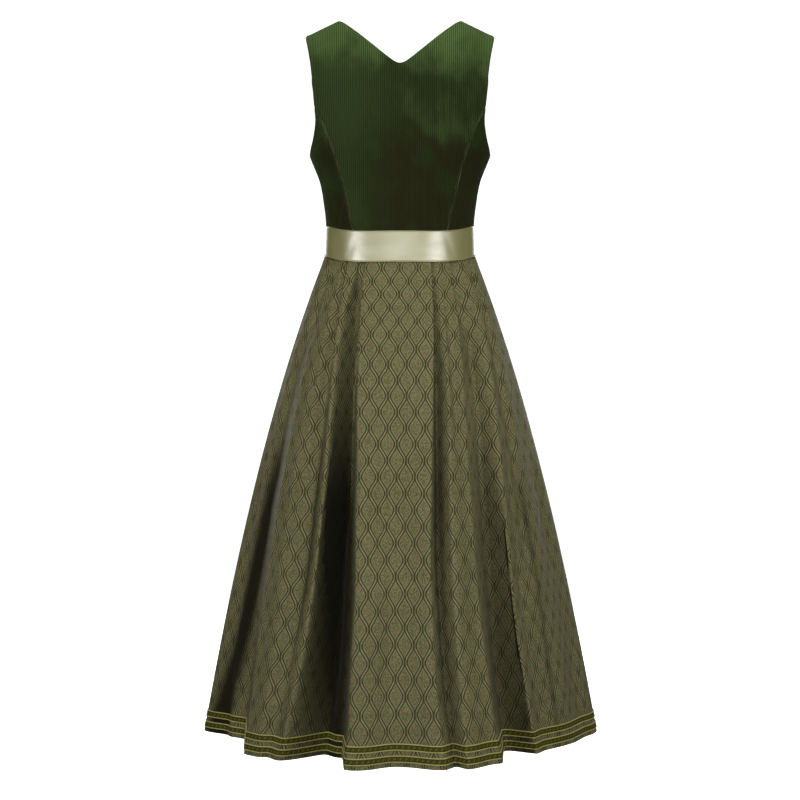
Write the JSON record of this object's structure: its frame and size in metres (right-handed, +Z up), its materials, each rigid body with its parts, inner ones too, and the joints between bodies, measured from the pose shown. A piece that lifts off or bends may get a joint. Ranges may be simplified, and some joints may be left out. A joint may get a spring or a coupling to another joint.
{
  "type": "dirndl dress",
  "caption": "Sleeveless dirndl dress in its worn form: fitted corduroy bodice, satin sash and a long pleated brocade skirt with braid at the hem.",
  "frame": {"origin": "midway between the shoulders, at the height of the neck points, where the wearer holds the dress up", "axes": "+Z up, -Y out of the back of the dress, +Y out of its front, +X the wearer's right"},
  "size_m": [0.726, 0.6471, 1.3099],
  "materials": {
    "corduroy": "fine-wale cotton corduroy with a short nap, dark green",
    "brocade": "jacquard-woven brocade, tone on tone ogee repeat, slight sheen",
    "satin": "smooth duchess satin, pale sage",
    "braid": "woven velvet braid with light corded edges"
  },
  "bodies": {
    "root": {"back_centre": "corduroy", "back_side_left": "corduroy", "back_side_right": "corduroy", "front_left": "corduroy", "front_right": "corduroy", "front_side_left": "corduroy", "front_side_right": "corduroy", "waist_sash": "satin", "skirt_back": "brocade", "skirt_front": "brocade", "hem_trim_upper": "braid", "hem_trim_lower": "braid"}
  },
  "joints": []
}
